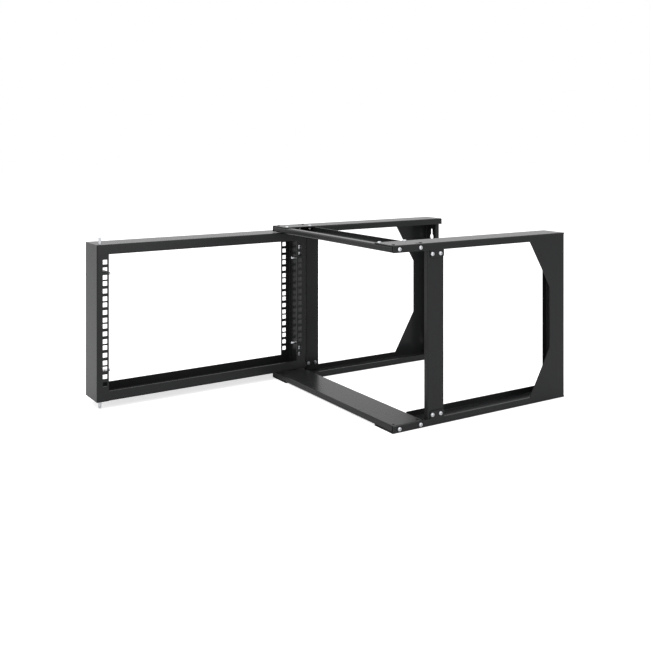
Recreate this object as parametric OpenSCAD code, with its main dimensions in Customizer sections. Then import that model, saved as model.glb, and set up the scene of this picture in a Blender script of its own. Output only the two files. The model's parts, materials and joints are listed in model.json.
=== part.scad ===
// Wall mount open frame rack with a swing-out front frame.
// X runs to the right seen from the front, Y runs towards the wall and Z runs up.
// The origin is the centre of the four wall keyholes, on the wall plane.
// The swing frame is drawn closed, between the two crossbars, and then turned open about its hinge bolts.

/* [Rack standard] */
// Number of rack units that the swing frame holds
rack_units = 6; // [4:1:12]
// Height of one rack unit
unit_h = 44.45; // [42:0.05:46]
// Distance between the two columns of rack holes
column_spacing = 465.1; // [430:0.1:500]
// Side of one square rack hole
rack_hole = 9.5; // [7:0.1:11]

/* [Swing frame] */
// Depth of the swing frame, front face to back face
swing_d = 78; // [70:1:100]
// Spare height of the opening above and below the rack units
opening_margin = 9.15; // [6:0.05:20]
// Height of the lips along the top and bottom rails
rail_lip = 20.7; // [15:0.1:30]
// Width of the lips along the two stiles
stile_lip = 25; // [23:0.5:34]
// Distance from the frame's end to the middle of a hole column
column_inset = 16.95; // [15:0.05:20]
// Sheet thickness of the swing frame
swing_sheet = 2; // [1.2:0.1:2.5]
// How far the swing frame stands open
open_angle = 88.5; // [0:0.5:110]

/* [Base] */
// Depth of the base from its front edge to the wall
base_d = 452; // [300:1:650]
// Height of the web's bars along the top and bottom
bar_h = 14.4; // [13:0.1:18]
// Width of the top and bottom flanges
side_flange = 66; // [64:1:90]
// Height of the lips along the inner edges of those flanges
side_lip = 14.4; // [8:0.1:20]
// Sheet thickness of the side frames
side_sheet = 2; // [1.2:0.1:2.5]
// Width of the rear upright, up to the wall
upright_w = 43; // [30:1:80]
// Length of the corner gussets along the bars
gusset_y = 57.6; // [20:0.1:90]
// Height of the corner gussets along the upright
gusset_z = 98.8; // [40:0.1:105]
// Width of the rear flange that lies on the wall
rear_flange = 56; // [45:1:60]
// Depth of the return lip on the rear flange
rear_return = 12; // [6:0.5:20]
// Height of the tongues that the posts are screwed to, past the bars
tongue_h = 14.8; // [14:0.1:20]
// Length of those tongues
tongue_w = 33.5; // [32:0.5:38]

/* [Crossbars and posts] */
// How far the crossbars stop short of the swing frame's back face
crossbar_setback = 4; // [2:0.5:6]
// Height of a crossbar's flanges
crossbar_h = 12.4; // [12:0.1:16]
// Depth of the lip on a crossbar's front flange and of its rear end tabs
crossbar_lip = 14; // [12:0.5:16]
// Sheet thickness of the crossbars
crossbar_sheet = 2; // [1.2:0.1:2.1]
// Gap between the closed swing frame and the posts behind it
post_gap = 5; // [4:0.5:15]
// Width of a post's web
post_w = 38.5; // [36:0.5:60]
// Depth of a post's front flange
post_flange = 12; // [8:0.5:20]
// Sheet thickness of the posts
post_sheet = 2; // [1.2:0.1:2.5]

/* [Keyholes] */
// Distance from the base's outer side to the keyholes
keyhole_inset = 25; // [20:0.5:32]
// Distance from the base's top to the middle of an upper keyhole's head
keyhole_top = 50.4; // [40:0.1:80]
// Distance from the base's bottom to the middle of a lower keyhole's head
keyhole_bottom = 28.6; // [24:0.1:60]
// Diameter of a keyhole's head
keyhole_head = 15; // [12:0.5:20]
// Width of a keyhole's slot
keyhole_slot = 7; // [5:0.5:9]
// Distance from the head's middle to the slot's closed end
keyhole_rise = 20.9; // [16:0.1:30]

/* [Bolts] */
// Diameter of the four L bolts
bolt_d = 6; // [4:0.5:6]
// How far a bolt's tip stands out of the frame
bolt_reach = 15.5; // [13:0.5:15.5]
// Distance from the frame's end to a bolt's handle
handle_drop = 62; // [58:0.5:64]
// Length of a bolt's handle from the bolt's axis
handle_l = 30; // [22:0.5:40]
// Radius of the bend between bolt and handle
bend_r = 4.5; // [4:0.5:8]
// Distance from the frame's end to the bolt axis
hinge_inset = 10; // [9.5:0.5:11]
// Distance from the frame's back face to the bolt axis
hinge_back = 13; // [12:0.5:14]
// Length of a spring as fitted
spring_l = 34; // [26:0.5:40]
// Mean radius of a spring's coil
spring_r = 4.2; // [4:0.05:4.6]
// Radius of the spring wire
spring_wire_r = 0.6; // [0.4:0.05:0.7]
// Turns of a spring
spring_turns = 8; // [5:1:10]

/* [Fasteners] */
// Diameter of the screws
screw_d = 4; // [3:0.5:4]
// Diameter of a screw's pan head
head_d = 9.2; // [8:0.1:9.5]
// Height of a screw's pan head
head_h = 2.9; // [2:0.1:3.4]
// Length of a screw under its head
screw_l = 8.8; // [7.5:0.1:9]
// Width of a nut across its flats
nut_w = 7; // [6:0.1:7]
// Height of a nut
nut_h = 3.2; // [2.4:0.1:4]
// Distance between the two screws at a post's end
post_screw_spacing = 19.7; // [14:0.1:24]
// Distance from a post's front to its first screw
post_screw_inset = 9.6; // [8:0.1:12]

/* [Clearances] */
// Height left between the swing frame and each crossbar
swing_gap_z = 1.75; // [1:0.05:4]
// Width left between the closed swing frame and each side
swing_gap_x = 3; // [3:0.5:6]
// Radial clearance of the bolts in their holes
bolt_clearance = 0.08; // [0.05:0.01:0.3]
// Radial clearance of the screws in their holes
screw_clearance = 0.25; // [0.1:0.05:0.4]
// Radial clearance of the nuts and clips on their shanks
grip_clearance = 0.02; // [0.01:0.01:0.1]
// Gap between a piece's end and the sheet that it stands against
end_gap = 0.1; // [0.05:0.05:0.3]

/* [Hidden] */
$fn = 48;

powder = [0.17, 0.17, 0.18];
powder_light = [0.22, 0.22, 0.24];
zinc = [0.78, 0.79, 0.80];
steel = [0.62, 0.63, 0.65];

// Overall sizes follow from the rack units and the gaps round the swing frame.
swing_w = column_spacing + 2 * column_inset;
opening_h = rack_units * unit_h + 2 * opening_margin;
swing_h = opening_h + 2 * rail_lip;
base_w = swing_w + 2 * swing_gap_x;
swing_z = side_sheet + crossbar_h + swing_gap_z;
base_h = swing_h + 2 * swing_z;
crossbar_d = swing_d - crossbar_setback;
hinge_x = swing_gap_x + hinge_inset;
hinge_y = swing_d - hinge_back;
bolt_r = bolt_d / 2;

// A sheet's outer bend radius is its thickness and the inner radius of the press tool.
tool_r = 1;

window_rear = base_d - upright_w;
post_y = swing_d + post_gap;
tongue_y = post_y + post_w - tongue_w;
lip_gap = 2;
crossbar_x = side_sheet + end_gap;
crossbar_l = base_w - 2 * crossbar_x;
end_tab_margin = 5;
screw_front = 14;
screw_rear = 10;
screw_rows = [screw_front, crossbar_d - screw_rear];
screw_level = (crossbar_h - tool_r) / 2;
post_screw_level = bar_h + tongue_h / 2;
flange_screw_margin = 7;
flange_screw_x = side_flange - flange_screw_margin;
flange_screw_rows = [crossbar_lip / 2, crossbar_d - crossbar_lip / 2];
front_hole_y = 9;
front_hole_r = 2.6;
tip_clearance = 1;
tip_hole_r = bolt_r + tip_clearance;
tongue_corner = 4;

// The bolt's bend rests on its guide when the bolt stands right out.
guide_sheet = 2;
guide_margin = 0.5;
guide_w = 2 * (hinge_back - swing_sheet - tool_r - guide_margin);
guide_leg = 15;
guide_l = 20;
guide_z = handle_drop - bend_r - guide_sheet;
clip_t = 1;
clip_r = 5.6;
clip_z = guide_z - spring_l - clip_t;
tip_chamfer = 1.2;

origin_z = (base_h - keyhole_top + keyhole_bottom) / 2;

module place() translate([-base_w / 2, -base_d, -origin_z]) children();

module opened()
    place() translate([hinge_x, hinge_y, 0]) rotate([0, 0, -open_angle]) translate([-hinge_x, -hinge_y, 0]) children();

module right_side() translate([base_w, 0, 0]) mirror([1, 0, 0]) children();
module upside_down() translate([0, 0, base_h]) mirror([0, 0, 1]) children();
module both_sides() { children(); right_side() children(); }

// Stands a drawing made in X and Y up so that they become Y and Z, and pulls it along X.
module along_x(length) rotate([90, 0, 90]) linear_extrude(length) children();
// Stands a drawing made in X and Y up so that Y becomes Z, and pulls it along Y.
module along_y(length) translate([0, length, 0]) rotate([90, 0, 0]) linear_extrude(length) children();

// Section of a sheet folded at the origin, with legs along X and Y.
module fold(leg_x, leg_y, sheet) {
    r = sheet + tool_r;
    difference() {
        union() {
            if (leg_x > r) translate([r, 0]) square([leg_x - r, sheet]);
            if (leg_y > r) translate([0, r]) square([sheet, leg_y - r]);
            intersection() { translate([r, r]) circle(r); square(r); }
        }
        translate([r, r]) circle(tool_r);
    }
}

// Section of a channel: a floor of the given width with a leg at each end.
module channel(width, leg, sheet) {
    overlapping = width * 2 / 3;
    fold(overlapping, leg, sheet);
    translate([width, 0]) mirror([1, 0]) fold(overlapping, leg, sheet);
}

// The web of a side frame, seen from the side, inside its folded edges.
module web_outline() {
    edge = side_sheet + tool_r;
    polygon([[0, edge], [base_d - edge, edge], [base_d - edge, base_h - edge], [0, base_h - edge],
             [0, base_h - bar_h], [window_rear - gusset_y, base_h - bar_h], [window_rear, base_h - bar_h - gusset_z],
             [window_rear, bar_h + gusset_z], [window_rear - gusset_y, bar_h], [0, bar_h]]);
}

module tongue_outline() {
    root = bar_h - side_sheet;
    straight_h = bar_h + tongue_h - tongue_corner;
    translate([tongue_y, root]) square([tongue_w, straight_h - root]);
    translate([tongue_y + tongue_corner, bar_h]) square([tongue_w - 2 * tongue_corner, tongue_h]);
    for (y = [tongue_y + tongue_corner, tongue_y + tongue_w - tongue_corner])
        translate([y, straight_h]) circle(tongue_corner);
}

// Bottom flange of a side frame: folded up at its outer edge, and at its inner edge behind the crossbar.
module side_flange_sheet() {
    edge = side_sheet + tool_r;
    lip_start = crossbar_d + lip_gap;
    along_y(base_d) fold(side_flange - edge, edge, side_sheet);
    translate([side_flange - edge, 0, 0]) cube([edge, lip_start, side_sheet]);
    translate([side_flange, lip_start, 0]) mirror([1, 0, 0])
        along_y(base_d - lip_start) fold(edge, side_lip, side_sheet);
}

// Rear flange of a side frame, with its return lip.
module rear_flange_sheet() {
    edge = side_sheet + tool_r;
    height = base_h - 2 * edge;
    translate([0, base_d, edge]) mirror([0, 1, 0]) linear_extrude(height)
        fold(rear_flange - edge, edge, side_sheet);
    translate([rear_flange, base_d, bar_h]) mirror([1, 0, 0]) mirror([0, 1, 0])
        linear_extrude(base_h - 2 * bar_h) fold(edge, rear_return, side_sheet);
    for (z = [side_sheet, base_h - bar_h]) translate([edge, base_d - side_sheet, z])
        cube([rear_flange - edge - tool_r, side_sheet, bar_h - side_sheet]);
}

module keyhole(z) {
    translate([keyhole_inset, base_d + 1, z]) rotate([90, 0, 0]) cylinder(h = side_sheet + 2, d = keyhole_head);
    translate([keyhole_inset - keyhole_slot / 2, base_d - side_sheet - 1, z])
        cube([keyhole_slot, side_sheet + 2, keyhole_rise - keyhole_slot / 2]);
    translate([keyhole_inset, base_d + 1, z + keyhole_rise - keyhole_slot / 2]) rotate([90, 0, 0])
        cylinder(h = side_sheet + 2, d = keyhole_slot);
}

module hole_x(x, y, z, radius, depth) translate([x, y, z]) rotate([0, 90, 0]) cylinder(h = depth, r = radius);

module side_frame() {
    screw_hole = screw_d / 2 + screw_clearance;
    difference() {
        union() {
            along_x(side_sheet) web_outline();
            side_flange_sheet();
            upside_down() side_flange_sheet();
            rear_flange_sheet();
            along_x(side_sheet) tongue_outline();
            upside_down() along_x(side_sheet) tongue_outline();
        }
        keyhole(base_h - keyhole_top);
        keyhole(keyhole_bottom);
        for (half = [0, 1]) mirror([0, 0, half]) translate([0, 0, -half * base_h]) {
            for (y = screw_rows)
                hole_x(-1, y, side_sheet + screw_level, screw_hole, side_sheet + 2);
            for (step = [0, 1])
                hole_x(-1, post_y + post_screw_inset + step * post_screw_spacing, post_screw_level, screw_hole, side_sheet + 2);
            translate([hinge_x, hinge_y, -1]) cylinder(h = side_sheet + 2, r = tip_hole_r);
            translate([hinge_x, front_hole_y, -1]) cylinder(h = side_sheet + 2, r = front_hole_r);
        }
        for (y = flange_screw_rows)
            translate([flange_screw_x, y, base_h - side_sheet - 1]) cylinder(h = side_sheet + 2, r = screw_hole);
    }
}

module left_side_frame() color(powder) place() side_frame();
module right_side_frame() color(powder_light) place() right_side() side_frame();

module post() {
    foot = side_sheet + tool_r + end_gap;
    height = base_h - 2 * foot;
    difference() {
        translate([side_sheet, post_y, foot]) linear_extrude(height)
            fold(post_flange, post_w, post_sheet);
        for (z = [post_screw_level, base_h - post_screw_level], step = [0, 1])
            hole_x(side_sheet - 1, post_y + post_screw_inset + step * post_screw_spacing, z,
                   screw_d / 2 + screw_clearance, post_sheet + 2);
    }
}

module left_post() color(powder) place() post();
module right_post() color(powder_light) place() right_side() post();

// Crossbar drawn with its floor at the bottom and its flanges turned up.
module crossbar() {
    edge = crossbar_sheet + tool_r;
    screw_hole = screw_d / 2 + screw_clearance;
    difference() {
        union() {
            translate([crossbar_x + edge, 0, 0]) along_x(crossbar_l - 2 * edge) {
                fold(crossbar_d / 2, crossbar_h - edge, crossbar_sheet);
                translate([0, crossbar_h]) mirror([0, 1]) fold(crossbar_lip, edge + 1, crossbar_sheet);
                translate([crossbar_d, 0]) mirror([1, 0]) fold(crossbar_d / 2, crossbar_h, crossbar_sheet);
            }
            both_sides() {
                translate([crossbar_x, end_tab_margin, 0]) along_y(crossbar_d - 2 * end_tab_margin)
                    fold(2 * edge, crossbar_h - tool_r - end_gap, crossbar_sheet);
                translate([crossbar_x + edge, crossbar_d, crossbar_h]) mirror([0, 0, 1]) mirror([0, 1, 0])
                    along_x(side_flange - crossbar_x - edge) fold(crossbar_lip, edge, crossbar_sheet);
            }
        }
        both_sides() {
            for (y = screw_rows) hole_x(crossbar_x - 1, y, crossbar_h - screw_level, screw_hole, crossbar_sheet + 2);
            translate([hinge_x, hinge_y, -1]) cylinder(h = crossbar_sheet + 2, r = bolt_r + bolt_clearance);
            translate([hinge_x, hinge_y, crossbar_h - crossbar_sheet - 1]) cylinder(h = crossbar_sheet + 2, r = tip_hole_r);
            translate([hinge_x, front_hole_y, -1]) cylinder(h = crossbar_h + 2, r = front_hole_r);
            for (y = flange_screw_rows)
                translate([flange_screw_x, y, crossbar_h - crossbar_sheet - 1]) cylinder(h = crossbar_sheet + 2, r = screw_hole);
        }
    }
}

module bottom_crossbar_place() translate([0, 0, side_sheet + crossbar_h]) mirror([0, 0, 1]) children();
module top_crossbar() color(powder_light) place() upside_down() bottom_crossbar_place() crossbar();
module bottom_crossbar() color(powder_light) place() bottom_crossbar_place() crossbar();

// Swing frame, drawn closed. Its rails lie between the webs of its stiles.
module rack_holes() {
    steps = [unit_h / 7, unit_h / 2, unit_h * 6 / 7];
    first = swing_z + rail_lip + opening_margin;
    for (unit = [0 : rack_units - 1], step = steps)
        translate([swing_gap_x + column_inset - rack_hole / 2, -1, first + unit * unit_h + step - rack_hole / 2])
            cube([rack_hole, swing_d + 2, rack_hole]);
}

module stile() {
    difference() {
        translate([swing_gap_x, 0, swing_z]) linear_extrude(swing_h)
            translate([0, swing_d]) rotate(-90) channel(swing_d, stile_lip, swing_sheet);
        rack_holes();
    }
}

module rail() {
    edge = swing_sheet + tool_r;
    lip_length = swing_w - 2 * stile_lip;
    difference() {
        union() {
            translate([swing_gap_x + stile_lip, 0, swing_z]) along_x(lip_length) channel(swing_d, rail_lip, swing_sheet);
            translate([swing_gap_x + swing_sheet, edge, swing_z])
                cube([swing_w - 2 * swing_sheet, swing_d - 2 * edge, swing_sheet]);
            translate([swing_gap_x + edge, swing_sheet, swing_z])
                cube([swing_w - 2 * edge, swing_d - 2 * swing_sheet, swing_sheet]);
        }
        both_sides() translate([hinge_x, hinge_y, swing_z - 1])
            cylinder(h = swing_sheet + 2, r = bolt_r + bolt_clearance);
    }
}

module swing_hinge_stile() color(powder) opened() stile();
module swing_latch_stile() color(powder_light) opened() right_side() stile();
module swing_bottom_rail() color(powder) opened() rail();
module swing_top_rail() color(powder) opened() upside_down() rail();

// The bolt set of one corner, drawn at the bottom hinge corner, with heights counted from the frame's end.
module guide() {
    translate([swing_gap_x + swing_sheet, hinge_y - guide_w / 2, swing_z + guide_z + guide_sheet]) difference() {
        mirror([0, 0, 1]) along_y(guide_w) fold(guide_l, guide_leg, guide_sheet);
        translate([hinge_inset - swing_sheet, guide_w / 2, -guide_sheet - 1])
            cylinder(h = guide_sheet + 2, r = bolt_r + bolt_clearance);
    }
}

module bolt() {
    translate([hinge_x, hinge_y, swing_z]) {
        translate([0, 0, -bolt_reach]) cylinder(h = tip_chamfer, r1 = bolt_r - tip_chamfer, r2 = bolt_r);
        translate([0, 0, tip_chamfer - bolt_reach])
            cylinder(h = handle_drop - bend_r + bolt_reach - tip_chamfer, r = bolt_r);
        translate([bend_r, 0, handle_drop - bend_r]) rotate([-90, 0, 0]) rotate([0, 0, 180])
            rotate_extrude(angle = 90) translate([bend_r, 0]) circle(bolt_r);
        translate([bend_r, 0, handle_drop]) rotate([0, 90, 0]) cylinder(h = handle_l - bend_r, r = bolt_r);
    }
}

module clip() {
    gap = bolt_r * 1.2;
    translate([hinge_x, hinge_y, swing_z + clip_z]) difference() {
        cylinder(h = clip_t, r = clip_r);
        translate([0, 0, -1]) cylinder(h = clip_t + 2, r = bolt_r + grip_clearance);
        translate([0, -gap / 2, -1]) cube([clip_r + 1, gap, clip_t + 2]);
    }
}

// A coil spring as one swept tube with flat end caps.
module spring() {
    sides = 6;
    per_turn = 12;
    steps = spring_turns * per_turn;
    rise = spring_l - 2 * spring_wire_r;
    points = [for (i = [0 : steps], k = [0 : sides - 1])
        let (turn = 360 * i / per_turn, side = 360 * k / sides, reach = spring_r + spring_wire_r * cos(side))
        [reach * cos(turn), reach * sin(turn), spring_wire_r + rise * i / steps + spring_wire_r * sin(side)]];
    walls = [for (i = [0 : steps - 1], k = [0 : sides - 1])
        let (next = (k + 1) % sides, low = i * sides, high = low + sides)
        [low + k, high + k, high + next, low + next]];
    caps = [[for (k = [0 : sides - 1]) k], [for (k = [sides - 1 : -1 : 0]) steps * sides + k]];
    translate([hinge_x, hinge_y, swing_z + clip_z + clip_t]) polyhedron(points, concat(walls, caps), convexity = 10);
}

module hinge_top_guide() color(powder_light) opened() upside_down() guide();
module hinge_bottom_guide() color(powder_light) opened() guide();
module latch_top_guide() color(powder_light) opened() right_side() upside_down() guide();
module latch_bottom_guide() color(powder_light) opened() right_side() guide();
module hinge_top_bolt() color(zinc) opened() upside_down() bolt();
module hinge_bottom_bolt() color(zinc) opened() bolt();
module latch_top_bolt() color(zinc) opened() right_side() upside_down() bolt();
module latch_bottom_bolt() color(zinc) opened() right_side() bolt();
module hinge_top_spring() color(steel) opened() upside_down() spring();
module hinge_bottom_spring() color(steel) opened() spring();
module latch_top_spring() color(steel) opened() right_side() upside_down() spring();
module latch_bottom_spring() color(steel) opened() right_side() spring();
module hinge_top_clip() color(steel) opened() upside_down() clip();
module hinge_bottom_clip() color(steel) opened() clip();
module latch_top_clip() color(steel) opened() right_side() upside_down() clip();
module latch_bottom_clip() color(steel) opened() right_side() clip();

// Pan-head screw along Z: the shank goes down from the origin and the head stands up.
module screw() {
    crown_r = 3;
    slot_w = 1.1;
    slot_l = 4.8;
    slot_depth = 1.5;
    difference() {
        union() {
            translate([0, 0, -screw_l]) cylinder(h = screw_l, d = screw_d);
            rotate_extrude() {
                square([head_d / 2, head_h - crown_r / 2]);
                intersection() {
                    square([head_d / 2, head_h]);
                    translate([head_d / 2 - crown_r, head_h - crown_r]) circle(crown_r);
                }
                square([head_d / 2 - crown_r, head_h]);
            }
        }
        translate([-slot_l / 2, -slot_w / 2, head_h - slot_depth]) cube([slot_l, slot_w, slot_depth + 1]);
        translate([-slot_w / 2, -slot_l / 2, head_h - slot_depth]) cube([slot_w, slot_l, slot_depth + 1]);
    }
}

module nut() {
    difference() {
        rotate([0, 0, 30]) cylinder(h = nut_h, r = nut_w / sqrt(3), $fn = 6);
        translate([0, 0, -1]) cylinder(h = nut_h + 2, r = screw_d / 2 + grip_clearance);
    }
}

// Places its child at each screw through a side, with Z out of the base.
module at_crossbar_screws(inward)
    both_sides() for (z = [side_sheet + screw_level, base_h - side_sheet - screw_level], y = screw_rows)
        translate([inward, y, z]) rotate([0, -90, 0]) children();

module at_post_screws(inward)
    both_sides() for (z = [post_screw_level, base_h - post_screw_level], step = [0, 1])
        translate([inward, post_y + post_screw_inset + step * post_screw_spacing, z]) rotate([0, -90, 0]) children();

module at_flange_screws(down)
    both_sides() for (y = flange_screw_rows) translate([flange_screw_x, y, base_h - down]) children();

module crossbar_screws() color(zinc) place() at_crossbar_screws(0) screw();
module crossbar_nuts() color(steel) place() at_crossbar_screws(crossbar_x + crossbar_sheet + nut_h) nut();
module post_screws() color(zinc) place() at_post_screws(0) screw();
module post_nuts() color(steel) place() at_post_screws(side_sheet + post_sheet + nut_h) nut();
module flange_screws() color(zinc) place() at_flange_screws(0) screw();
module flange_nuts() color(steel) place() at_flange_screws(side_sheet + crossbar_sheet + nut_h) rotate([0, 0, 30]) nut();

left_side_frame();
right_side_frame();
left_post();
right_post();
top_crossbar();
bottom_crossbar();
swing_top_rail();
swing_bottom_rail();
swing_hinge_stile();
swing_latch_stile();
hinge_top_guide();
hinge_bottom_guide();
latch_top_guide();
latch_bottom_guide();
hinge_top_bolt();
hinge_bottom_bolt();
latch_top_bolt();
latch_bottom_bolt();
hinge_top_spring();
hinge_bottom_spring();
latch_top_spring();
latch_bottom_spring();
hinge_top_clip();
hinge_bottom_clip();
latch_top_clip();
latch_bottom_clip();
crossbar_screws();
crossbar_nuts();
post_screws();
post_nuts();
flange_screws();
flange_nuts();
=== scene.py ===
import json
import math

import bmesh
import bpy
from mathutils import Matrix, Vector


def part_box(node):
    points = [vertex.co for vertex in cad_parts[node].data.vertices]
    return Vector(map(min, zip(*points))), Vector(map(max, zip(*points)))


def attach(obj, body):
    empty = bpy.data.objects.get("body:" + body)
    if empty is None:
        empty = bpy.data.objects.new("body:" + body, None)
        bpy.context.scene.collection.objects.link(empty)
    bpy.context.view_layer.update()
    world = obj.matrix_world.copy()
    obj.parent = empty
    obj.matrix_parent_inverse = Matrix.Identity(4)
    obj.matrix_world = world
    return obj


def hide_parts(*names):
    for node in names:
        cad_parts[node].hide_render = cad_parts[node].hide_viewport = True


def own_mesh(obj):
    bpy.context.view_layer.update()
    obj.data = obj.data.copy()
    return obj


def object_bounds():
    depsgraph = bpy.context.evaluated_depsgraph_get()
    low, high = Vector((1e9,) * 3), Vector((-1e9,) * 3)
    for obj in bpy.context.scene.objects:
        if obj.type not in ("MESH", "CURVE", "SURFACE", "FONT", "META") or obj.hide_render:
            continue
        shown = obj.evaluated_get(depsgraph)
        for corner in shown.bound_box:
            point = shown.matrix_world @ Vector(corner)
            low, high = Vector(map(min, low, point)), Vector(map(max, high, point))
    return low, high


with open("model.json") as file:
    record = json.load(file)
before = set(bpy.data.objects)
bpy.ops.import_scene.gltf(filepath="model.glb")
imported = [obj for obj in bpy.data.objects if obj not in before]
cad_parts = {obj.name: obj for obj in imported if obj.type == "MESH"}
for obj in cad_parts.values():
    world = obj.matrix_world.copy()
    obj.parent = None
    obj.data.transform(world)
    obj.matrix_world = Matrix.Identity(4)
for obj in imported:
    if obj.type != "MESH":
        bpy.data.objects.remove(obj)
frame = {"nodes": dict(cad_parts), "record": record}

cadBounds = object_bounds()  # the CAD model's box; its lowest point sets the floor
print("frame loaded:", len(frame["nodes"]), "nodes")


# Camera, placed as in the photograph: metres and degrees, level, with the framing in the shift
cameraView = {
    "place": (1.6686, -1.4220, 0.38825),
    "heading": 56.06,
    "lens": 50.0,
    "shiftX": -0.0938,
    "shiftY": -0.2820,
}


def makeCamera(view):
    data = bpy.data.cameras.new("photoCamera")
    data.lens = view["lens"]
    data.shift_x = view["shiftX"]
    data.shift_y = view["shiftY"]
    data.clip_end = 100
    camera = bpy.data.objects.new("photoCamera", data)
    camera.location = view["place"]
    camera.rotation_euler = (math.radians(90), 0, math.radians(view["heading"]))
    bpy.context.collection.objects.link(camera)
    bpy.context.scene.camera = camera


makeCamera(cameraView)
print("camera placed")


# Shader node helpers
def newGroup(name, inputs, outputs):
    group = bpy.data.node_groups.new(name, "ShaderNodeTree")
    for label, kind, value in inputs:
        socket = group.interface.new_socket(label, in_out="INPUT", socket_type=kind)
        if value is not None:
            socket.default_value = value
    for label, kind in outputs:
        group.interface.new_socket(label, in_out="OUTPUT", socket_type=kind)
    return group, group.nodes.new("NodeGroupInput"), group.nodes.new("NodeGroupOutput")


def link(tree, source, target):
    tree.links.new(source, target)


def addNode(tree, kind, **settings):
    node = tree.nodes.new(kind)
    for key, value in settings.items():
        if isinstance(value, dict):
            for label, number in value.items():
                node.inputs[label].default_value = number
        else:
            setattr(node, key, value)
    return node


def placeGroup(tree, group, values):
    node = tree.nodes.new("ShaderNodeGroup")
    node.node_tree = group
    for label, number in values.items():
        node.inputs[label].default_value = number
    return node


# Powder coat: a fine orange peel, tiny specks and a slow change of tone over the sheet
def makeCoatGroup():
    group, start, end = newGroup(
        "coatTexture",
        [("Vector", "NodeSocketVector", None), ("Peel Size", "NodeSocketFloat", 900.0),
         ("Speck Size", "NodeSocketFloat", 2600.0), ("Tone Size", "NodeSocketFloat", 7.0),
         ("Tone Range", "NodeSocketFloat", 0.12), ("Roughness", "NodeSocketFloat", 0.5)],
        [("Tone", "NodeSocketFloat"), ("Roughness", "NodeSocketFloat"), ("Height", "NodeSocketFloat")])
    peel = addNode(group, "ShaderNodeTexNoise", inputs={"Detail": 3.0, "Roughness": 0.55})
    speck = addNode(group, "ShaderNodeTexNoise", inputs={"Detail": 1.0, "Roughness": 0.4})
    tone = addNode(group, "ShaderNodeTexNoise", inputs={"Detail": 4.0, "Roughness": 0.6})
    for noise, size in ((peel, "Peel Size"), (speck, "Speck Size"), (tone, "Tone Size")):
        link(group, start.outputs["Vector"], noise.inputs["Vector"])
        link(group, start.outputs[size], noise.inputs["Scale"])
    # tone runs from one less half the range to one plus half of it
    centred = addNode(group, "ShaderNodeMath", operation="SUBTRACT")
    centred.inputs[1].default_value = 0.5
    link(group, tone.outputs["Fac"], centred.inputs[0])
    scaled = addNode(group, "ShaderNodeMath", operation="MULTIPLY_ADD")
    scaled.inputs[2].default_value = 1.0
    link(group, centred.outputs[0], scaled.inputs[0])
    link(group, start.outputs["Tone Range"], scaled.inputs[1])
    link(group, scaled.outputs[0], end.inputs["Tone"])
    # specks roughen the coat a little
    speckRough = addNode(group, "ShaderNodeMapRange", inputs={"From Min": 0.35, "From Max": 0.65,
                                                              "To Min": -0.02, "To Max": 0.05})
    link(group, speck.outputs["Fac"], speckRough.inputs["Value"])
    rough = addNode(group, "ShaderNodeMath", operation="ADD")
    link(group, speckRough.outputs["Result"], rough.inputs[0])
    link(group, start.outputs["Roughness"], rough.inputs[1])
    link(group, rough.outputs[0], end.inputs["Roughness"])
    height = addNode(group, "ShaderNodeMath", operation="MULTIPLY_ADD")
    height.inputs[1].default_value = 0.35
    link(group, speck.outputs["Fac"], height.inputs[0])
    link(group, peel.outputs["Fac"], height.inputs[2])
    link(group, height.outputs[0], end.inputs["Height"])
    return group


# Bare and plated metal: drawn lines along one axis and a soft mottle
def makeMetalGroup():
    group, start, end = newGroup(
        "metalTexture",
        [("Vector", "NodeSocketVector", None), ("Line Size", "NodeSocketFloat", 400.0),
         ("Mottle Size", "NodeSocketFloat", 160.0), ("Tone Range", "NodeSocketFloat", 0.2),
         ("Roughness", "NodeSocketFloat", 0.28)],
        [("Tone", "NodeSocketFloat"), ("Roughness", "NodeSocketFloat"), ("Height", "NodeSocketFloat")])
    stretch = addNode(group, "ShaderNodeMapping", inputs={"Scale": (1.0, 1.0, 6.0)})
    link(group, start.outputs["Vector"], stretch.inputs["Vector"])
    lines = addNode(group, "ShaderNodeTexNoise", inputs={"Detail": 2.0, "Roughness": 0.5})
    link(group, stretch.outputs["Vector"], lines.inputs["Vector"])
    link(group, start.outputs["Line Size"], lines.inputs["Scale"])
    mottle = addNode(group, "ShaderNodeTexNoise", inputs={"Detail": 3.0, "Roughness": 0.6})
    link(group, start.outputs["Vector"], mottle.inputs["Vector"])
    link(group, start.outputs["Mottle Size"], mottle.inputs["Scale"])
    centred = addNode(group, "ShaderNodeMath", operation="SUBTRACT")
    centred.inputs[1].default_value = 0.5
    link(group, mottle.outputs["Fac"], centred.inputs[0])
    tone = addNode(group, "ShaderNodeMath", operation="MULTIPLY_ADD")
    tone.inputs[2].default_value = 1.0
    link(group, centred.outputs[0], tone.inputs[0])
    link(group, start.outputs["Tone Range"], tone.inputs[1])
    link(group, tone.outputs[0], end.inputs["Tone"])
    rough = addNode(group, "ShaderNodeMath", operation="MULTIPLY_ADD")
    rough.inputs[1].default_value = 0.12
    link(group, lines.outputs["Fac"], rough.inputs[0])
    link(group, start.outputs["Roughness"], rough.inputs[2])
    link(group, rough.outputs[0], end.inputs["Roughness"])
    link(group, lines.outputs["Fac"], end.inputs["Height"])
    return group


coatGroup = makeCoatGroup()
metalGroup = makeMetalGroup()


def newMaterial(name):
    material = bpy.data.materials.new(name)
    material.use_nodes = True
    tree = material.node_tree
    shader = tree.nodes["Principled BSDF"]
    coordinates = addNode(tree, "ShaderNodeTexCoord")
    return material, tree, shader, coordinates


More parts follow.
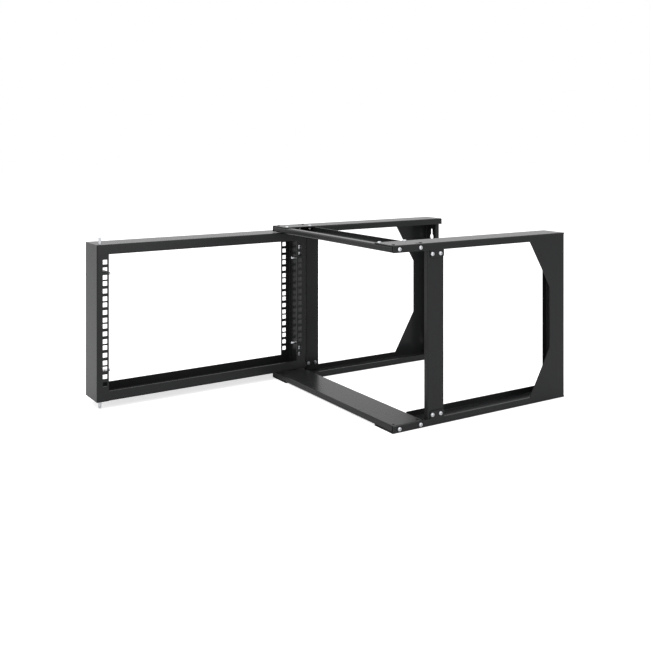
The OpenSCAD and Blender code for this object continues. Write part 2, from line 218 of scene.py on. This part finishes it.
# Multiplies a plain colour by a group's tone and links roughness and bump
def dress(tree, shader, coordinates, texture, colour, bumpDistance, bumpStrength):
    link(tree, coordinates.outputs["Object"], texture.inputs["Vector"])
    tint = addNode(tree, "ShaderNodeVectorMath", operation="SCALE")
    tint.inputs[0].default_value = colour
    link(tree, texture.outputs["Tone"], tint.inputs["Scale"])
    link(tree, tint.outputs["Vector"], shader.inputs["Base Color"])
    link(tree, texture.outputs["Roughness"], shader.inputs["Roughness"])
    bump = addNode(tree, "ShaderNodeBump", inputs={"Strength": bumpStrength, "Distance": bumpDistance})
    link(tree, texture.outputs["Height"], bump.inputs["Height"])
    link(tree, bump.outputs["Normal"], shader.inputs["Normal"])


powderCoat = {
    "colour": (0.0170, 0.0176, 0.0184),
    "specular": 0.16,
    "roughness": 0.25,
    "toneRange": 0.14,
    "peelSize": 700.0,
    "bumpDistance": 0.00002,
    "bumpStrength": 0.25,
}

zincPlate = {
    "colour": (0.60, 0.61, 0.63),
    "roughness": 0.24,
    "toneRange": 0.22,
    "bumpDistance": 0.00002,
    "bumpStrength": 0.4,
}

springSteel = {
    "colour": (0.50, 0.51, 0.53),
    "roughness": 0.26,
    "toneRange": 0.18,
    "bumpDistance": 0.00002,
    "bumpStrength": 0.3,
}


def makeCoat(name, look):
    material, tree, shader, coordinates = newMaterial(name)
    texture = placeGroup(tree, coatGroup, {"Peel Size": look["peelSize"], "Tone Range": look["toneRange"],
                                           "Roughness": look["roughness"]})
    dress(tree, shader, coordinates, texture, look["colour"], look["bumpDistance"], look["bumpStrength"])
    shader.inputs["Specular IOR Level"].default_value = look["specular"]
    return material


def makeMetal(name, look):
    material, tree, shader, coordinates = newMaterial(name)
    texture = placeGroup(tree, metalGroup, {"Tone Range": look["toneRange"], "Roughness": look["roughness"]})
    dress(tree, shader, coordinates, texture, look["colour"], look["bumpDistance"], look["bumpStrength"])
    shader.inputs["Metallic"].default_value = 1.0
    return material


coatMaterial = makeCoat("blackPowderCoat", powderCoat)
zincMaterial = makeMetal("brightZincPlate", zincPlate)
steelMaterial = makeMetal("springSteel", springSteel)
materialOfSlot = {"powder_coat": coatMaterial, "zinc_plate": zincMaterial, "spring_steel": steelMaterial}
print("materials made")


# Every CAD node keeps its mesh and takes the material of its slot in the record
def dressFrame():
    slotOfNode = {entry["node"]: entry["material_slot"] for entry in frame["record"]["subparts"]}
    for name, node in frame["nodes"].items():
        node.data.materials.clear()
        node.data.materials.append(materialOfSlot[slotOfNode[name]])


dressFrame()
print("frame dressed")


# A bmesh becomes a piece with its place in its mesh, its slot's material and a body to ride on
def finishPiece(bm, name, body, slot):
    bmesh.ops.remove_doubles(bm, verts=bm.verts, dist=1e-6)
    bmesh.ops.recalc_face_normals(bm, faces=bm.faces)
    mesh = bpy.data.meshes.new(name)
    bm.to_mesh(mesh)
    bm.free()
    mesh.shade_smooth()
    mesh.set_sharp_from_angle(angle=math.radians(35))
    mesh.materials.append(materialOfSlot[slot])
    piece = bpy.data.objects.new(name, mesh)
    bpy.context.collection.objects.link(piece)
    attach(piece, body)
    return piece


# Pulls open edges to a new ring, moved along and scaled about the ring's middle
def pullRing(bm, edges, move, scale=1.0):
    pulled = bmesh.ops.extrude_edge_only(bm, edges=edges)["geom"]
    corners = [part for part in pulled if isinstance(part, bmesh.types.BMVert)]
    middle = sum((corner.co for corner in corners), Vector()) / len(corners)
    bmesh.ops.scale(bm, vec=(scale,) * 3, space=Matrix.Translation(-middle), verts=corners)
    bmesh.ops.translate(bm, vec=move, verts=corners)
    return [part for part in pulled if isinstance(part, bmesh.types.BMEdge)]


screwShape = {
    "cadHeadRadius": 0.0046,  # of the frame's plain screws, which these stand for
    "headRadius": 0.0041,
    "headHeight": 0.0026,
    "shankRadius": 0.0020,
    "length": 0.0088,
    "pitch": 0.0007,
    "threadDepth": 0.0003,
    "recess": (0.0048, 0.0011, 0.0030),
    "recessTaper": 0.45,
    "steps": 32,
}


# Pan head and threaded shank turned about Z, with the head's seat at the origin
def makeScrewMesh(look):
    bm = bmesh.new()
    head, height = look["headRadius"], look["headHeight"]
    outline = [(0, height), (head * 0.55, height), (head * 0.82, height * 0.86), (head * 0.96, height * 0.58),
               (head, height * 0.25), (head, 0), (look["shankRadius"], 0)]
    turns = int(look["length"] / look["pitch"]) - 1
    for turn in range(1, turns):
        crest = -turn * look["pitch"]
        outline += [(look["shankRadius"], crest), (look["shankRadius"] - look["threadDepth"], crest - look["pitch"] / 2)]
    outline += [(look["shankRadius"] * 0.7, -look["length"]), (0, -look["length"])]
    corners = [bm.verts.new((radius, 0, level)) for radius, level in outline]
    edges = [bm.edges.new(pair) for pair in zip(corners, corners[1:])]
    bmesh.ops.spin(bm, geom=corners + edges, axis=(0, 0, 1), cent=(0, 0, 0), angle=math.tau,
                   steps=look["steps"], use_merge=True)
    bmesh.ops.remove_doubles(bm, verts=bm.verts, dist=1e-6)
    bmesh.ops.recalc_face_normals(bm, faces=bm.faces)
    blank = bpy.data.meshes.new("screwBlank")
    bm.to_mesh(blank)
    bm.free()
    return cutRecess(blank, look)


# Cuts the cross recess with two tapered blades
def cutRecess(blank, look):
    screw = bpy.data.objects.new("screwBlank", blank)
    bpy.context.collection.objects.link(screw)
    cutters = []
    for quarter in range(2):
        bm = bmesh.new()
        bmesh.ops.create_cube(bm, size=1.0)
        low = [corner for corner in bm.verts if corner.co.z < 0]
        bmesh.ops.scale(bm, vec=(look["recessTaper"], look["recessTaper"], 1), verts=low)
        bmesh.ops.scale(bm, vec=look["recess"], verts=bm.verts)
        bmesh.ops.rotate(bm, matrix=Matrix.Rotation(quarter * math.pi / 2, 3, "Z"), verts=bm.verts)
        bmesh.ops.translate(bm, vec=(0, 0, look["headHeight"]), verts=bm.verts)
        blade = bpy.data.meshes.new("recessBlade")
        bm.to_mesh(blade)
        bm.free()
        cutter = bpy.data.objects.new("recessBlade", blade)
        bpy.context.collection.objects.link(cutter)
        cut = screw.modifiers.new("recess", "BOOLEAN")
        cut.object = cutter
        cut.operation = "DIFFERENCE"
        cut.solver = "EXACT"
        cutters.append(cutter)
    bpy.context.view_layer.update()
    mesh = bpy.data.meshes.new_from_object(screw.evaluated_get(bpy.context.evaluated_depsgraph_get()))
    for spare in [screw] + cutters:
        bpy.data.objects.remove(spare)
    return mesh


# The screws of a node stand at the corners of its box, half a head in from its sides
def screwPlaces(node, look):
    low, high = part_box(node)
    inset = look["cadHeadRadius"]
    if node == "flange_screws":
        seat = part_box("left_side_frame")[1].z
        return [Matrix.Translation((x, y, seat)) @ Matrix.Rotation(math.radians(20), 4, "Z")
                for x in (low.x + inset, high.x - inset) for y in (low.y + inset, high.y - inset)]
    sides = ((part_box("left_side_frame")[0].x, -90), (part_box("right_side_frame")[1].x, 90))
    places = []
    for side, turn in sides:
        for y in (low.y + inset, high.y - inset):
            for z in (low.z + inset, high.z - inset):
                places.append(Matrix.Translation((side, y, z)) @ Matrix.Rotation(math.radians(turn), 4, "Y")
                              @ Matrix.Rotation(math.radians(15 + 40 * len(places)), 4, "Z"))
    return places


def makeScrews(look):
    screwMesh = makeScrewMesh(look)
    for node in ("crossbar_screws", "post_screws", "flange_screws"):
        bm = bmesh.new()
        for place in screwPlaces(node, look):
            before = len(bm.verts)
            bm.from_mesh(screwMesh)
            bm.verts.ensure_lookup_table()
            bmesh.ops.transform(bm, matrix=place, verts=bm.verts[before:])
        piece = finishPiece(bm, node.replace("_screws", "PanScrews"), "base", "zinc_plate")
        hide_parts(node)


makeScrews(screwShape)
print("screws made")


boltShape = {
    "radius": 0.0030,
    "chamfer": 0.0012,
    "bendRadius": 0.0045,
    "handleLength": 0.0220,
    "bendSteps": 10,
    "segments": 28,
}


def jointNamed(name):
    return next(joint for joint in frame["record"]["behaviour"]["joints"] if joint["name"] == name)


openAngle = math.radians(jointNamed("swing")["range_deg"][1])


# Round rod drawn from its tip up, bent over to a handle along X
def makeBolt(corner, look):
    low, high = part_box(corner + "_bolt")
    radius, bend = look["radius"], look["bendRadius"]
    rodLength = high.z - low.z - radius - bend
    bm = bmesh.new()
    bmesh.ops.create_circle(bm, cap_ends=True, radius=radius - look["chamfer"], segments=look["segments"])
    edges = pullRing(bm, bm.edges[:], (0, 0, look["chamfer"]), radius / (radius - look["chamfer"]))
    edges = pullRing(bm, edges, (0, 0, rodLength - look["chamfer"]))
    spun = bmesh.ops.spin(bm, geom=edges, cent=(bend, 0, rodLength), axis=(0, 1, 0), angle=math.pi / 2,
                          steps=look["bendSteps"])["geom_last"]
    edges = [part for part in spun if isinstance(part, bmesh.types.BMEdge)]
    edges = pullRing(bm, edges, (look["handleLength"] - bend - radius * 0.3, 0, 0))
    edges = pullRing(bm, edges, (radius * 0.2, 0, 0), 0.9)
    edges = pullRing(bm, edges, (radius * 0.1, 0, 0), 0.8)
    bmesh.ops.holes_fill(bm, edges=edges)
    # the handle points into the frame, which stands open by the swing joint's angle
    heading = -openAngle if corner.startswith("hinge") else math.pi - openAngle
    handle = Vector((math.cos(heading), math.sin(heading)))
    x = low.x + radius if handle.x > 0 else high.x - radius
    y = low.y + radius if handle.y > 0 else high.y - radius
    upsideDown = "top" in corner
    place = (Matrix.Translation((x, y, high.z if upsideDown else low.z)) @ Matrix.Rotation(heading, 4, "Z")
             @ Matrix.Diagonal((1, 1, -1 if upsideDown else 1, 1)))
    bmesh.ops.transform(bm, matrix=place, verts=bm.verts)
    first, second = corner.split("_")
    piece = finishPiece(bm, first + second.capitalize() + "LBolt", corner + "_bolt_set", "zinc_plate")
    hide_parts(corner + "_bolt")


springShape = {
    "wireRadius": 0.0006,
    "openTurns": 7,
    "closedTurns": 1,  # at each end, with the wire lying on itself
    "stepsPerTurn": 20,
    "wireSides": 10,
}


# Coil spring built at one length, closed at each end; the real one shortens towards its guide when the bolt is pulled
def makeSpring(corner, look):
    node = corner + "_spring"
    low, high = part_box(node)
    wire, perTurn = look["wireRadius"], look["stepsPerTurn"]
    coilRadius = (high.x - low.x) / 2 - wire
    closedRise = 2 * wire * look["closedTurns"]
    openRise = high.z - low.z - 2 * wire - 2 * closedRise
    bm = bmesh.new()
    bmesh.ops.create_circle(bm, radius=wire, segments=look["wireSides"],
                            matrix=Matrix.Translation((coilRadius, 0, wire)) @ Matrix.Rotation(math.pi / 2, 4, "X"))
    ring = bm.edges[:]
    for turns, rise in ((look["closedTurns"], closedRise), (look["openTurns"], openRise),
                        (look["closedTurns"], closedRise)):
        steps = turns * perTurn
        spun = bmesh.ops.spin(bm, geom=ring, axis=(0, 0, 1), cent=(0, 0, 0), dvec=(0, 0, rise / steps),
                              angle=turns * math.tau, steps=steps)["geom_last"]
        ring = [part for part in spun if isinstance(part, bmesh.types.BMEdge)]
    bmesh.ops.holes_fill(bm, edges=bm.edges)
    bmesh.ops.translate(bm, vec=((low.x + high.x) / 2, (low.y + high.y) / 2, low.z), verts=bm.verts)
    first, second = corner.split("_")
    piece = finishPiece(bm, first + second.capitalize() + "Coil", "swing_frame", "spring_steel")
    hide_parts(node)
    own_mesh(piece)


for corner in ("hinge_top", "hinge_bottom", "latch_top", "latch_bottom"):
    makeBolt(corner, boltShape)
    makeSpring(corner, springShape)
print("bolts and springs made")


rivetShape = {
    "radius": 0.0038,
    "height": 0.0015,
    "side": 0.0135,  # from the base's outer side
    "front": 0.0090,
    "rear": 0.0735,
}


# Painted rivet heads on the top flanges, at the crossbar's front and rear edges
def makeRivets(look):
    low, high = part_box("left_side_frame")[0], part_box("right_side_frame")[1]
    bm = bmesh.new()
    for x in (low.x + look["side"], high.x - look["side"]):
        for y in (low.y + look["front"], low.y + look["rear"]):
            place = Matrix.Translation((x, y, high.z)) @ Matrix.Diagonal((look["radius"], look["radius"],
                                                                          look["height"], 1))
            dome = bmesh.ops.create_uvsphere(bm, u_segments=28, v_segments=14, radius=1.0, matrix=place)["verts"]
            faces = {face for corner in dome for face in corner.link_faces}
            edges = {edge for corner in dome for edge in corner.link_edges}
            bmesh.ops.bisect_plane(bm, geom=dome + list(edges) + list(faces), plane_co=(x, y, high.z),
                                   plane_no=(0, 0, 1), clear_inner=True)
    bmesh.ops.holes_fill(bm, edges=bm.edges)
    finishPiece(bm, "flangeRivets", "base", "powder_coat")


makeRivets(rivetShape)
print("rivets made")


# Studio: a pale floor, a white surround and four soft lamps
studio = {
    "floorSize": 30.0,
    "floorColour": (0.86, 0.86, 0.86),
    "floorLift": 0.66,
    "floorLiftMirrored": 0.10,
    "worldStrength": 0.75,
}

lamps = [
    {"name": "overheadLamp", "place": (0.1, -0.6, 2.6), "aim": (0.0, -0.4, 0.0), "size": (3.2, 3.2), "power": 40.0},
    {"name": "frontLeftLamp", "place": (-3.2, -2.7, 1.1), "aim": (-0.2, -0.5, 0.0), "size": (2.4, 2.0), "power": 10.0},
    {"name": "bendLamp", "place": (1.5, -2.8, 1.0), "aim": (0.0, -0.3, 0.0), "size": (0.5, 0.8), "power": 9.0},
    {"name": "lowRightLamp", "place": (2.9, 0.0, 0.35), "aim": (-0.2, -0.8, 0.0), "size": (1.4, 0.9), "power": 12.0},
]


# One for camera, mirror and glass rays, and nothing for the rays that carry light
def seenDirectly(tree):
    path = addNode(tree, "ShaderNodeLightPath")
    seen = addNode(tree, "ShaderNodeMath", operation="MAXIMUM")
    link(tree, path.outputs["Is Camera Ray"], seen.inputs[0])
    link(tree, path.outputs["Is Glossy Ray"], seen.inputs[1])
    either = addNode(tree, "ShaderNodeMath", operation="MAXIMUM")
    link(tree, seen.outputs[0], either.inputs[0])
    link(tree, path.outputs["Is Transmission Ray"], either.inputs[1])
    return either.outputs[0]


def makeWorld(look):
    world = bpy.data.worlds.new("whiteSurround")
    world.use_nodes = True
    bpy.context.scene.world = world
    tree = world.node_tree
    light = tree.nodes["Background"]
    light.inputs["Color"].default_value = (1, 1, 1, 1)
    light.inputs["Strength"].default_value = look["worldStrength"]
    white = addNode(tree, "ShaderNodeBackground", inputs={"Color": (1, 1, 1, 1), "Strength": 1.0})
    mix = addNode(tree, "ShaderNodeMixShader")
    link(tree, seenDirectly(tree), mix.inputs["Fac"])
    link(tree, light.outputs[0], mix.inputs[1])
    link(tree, white.outputs[0], mix.inputs[2])
    link(tree, mix.outputs[0], tree.nodes["World Output"].inputs["Surface"])


def makeFloor(look):
    low = cadBounds[0]
    bpy.ops.mesh.primitive_plane_add(size=look["floorSize"], location=(0, 0, low.z))
    floor = bpy.context.object
    floor.name = "studioFloor"
    material = bpy.data.materials.new("paleFloor")
    material.use_nodes = True
    tree = material.node_tree
    tree.nodes.remove(tree.nodes["Principled BSDF"])
    matt = addNode(tree, "ShaderNodeBsdfDiffuse", inputs={"Color": (*look["floorColour"], 1)})
    # the camera sees the floor as white, and mirrors see it a little lighter than its shading
    mirrored = addNode(tree, "ShaderNodeMath", operation="MULTIPLY")
    mirrored.inputs[1].default_value = look["floorLiftMirrored"]
    link(tree, seenDirectly(tree), mirrored.inputs[0])
    path = addNode(tree, "ShaderNodeLightPath")
    lift = addNode(tree, "ShaderNodeMath", operation="MULTIPLY_ADD")
    lift.inputs[1].default_value = look["floorLift"] - look["floorLiftMirrored"]
    link(tree, path.outputs["Is Camera Ray"], lift.inputs[0])
    link(tree, mirrored.outputs[0], lift.inputs[2])
    glow = addNode(tree, "ShaderNodeEmission")
    link(tree, lift.outputs[0], glow.inputs["Strength"])
    both = addNode(tree, "ShaderNodeAddShader")
    link(tree, matt.outputs[0], both.inputs[0])
    link(tree, glow.outputs[0], both.inputs[1])
    link(tree, both.outputs[0], tree.nodes["Material Output"].inputs["Surface"])
    floor.data.materials.append(material)


def makeLamp(lamp):
    data = bpy.data.lights.new(lamp["name"], "AREA")
    data.shape = "RECTANGLE"
    data.size, data.size_y = lamp["size"]
    data.energy = lamp["power"]
    light = bpy.data.objects.new(lamp["name"], data)
    place, aim = Vector(lamp["place"]), Vector(lamp["aim"])
    light.location = place
    light.rotation_euler = (aim - place).to_track_quat("-Z", "Y").to_euler()
    bpy.context.collection.objects.link(light)


makeWorld(studio)
makeFloor(studio)
for lamp in lamps:
    makeLamp(lamp)
bpy.context.scene.view_settings.view_transform = "Standard"
print("studio lit")
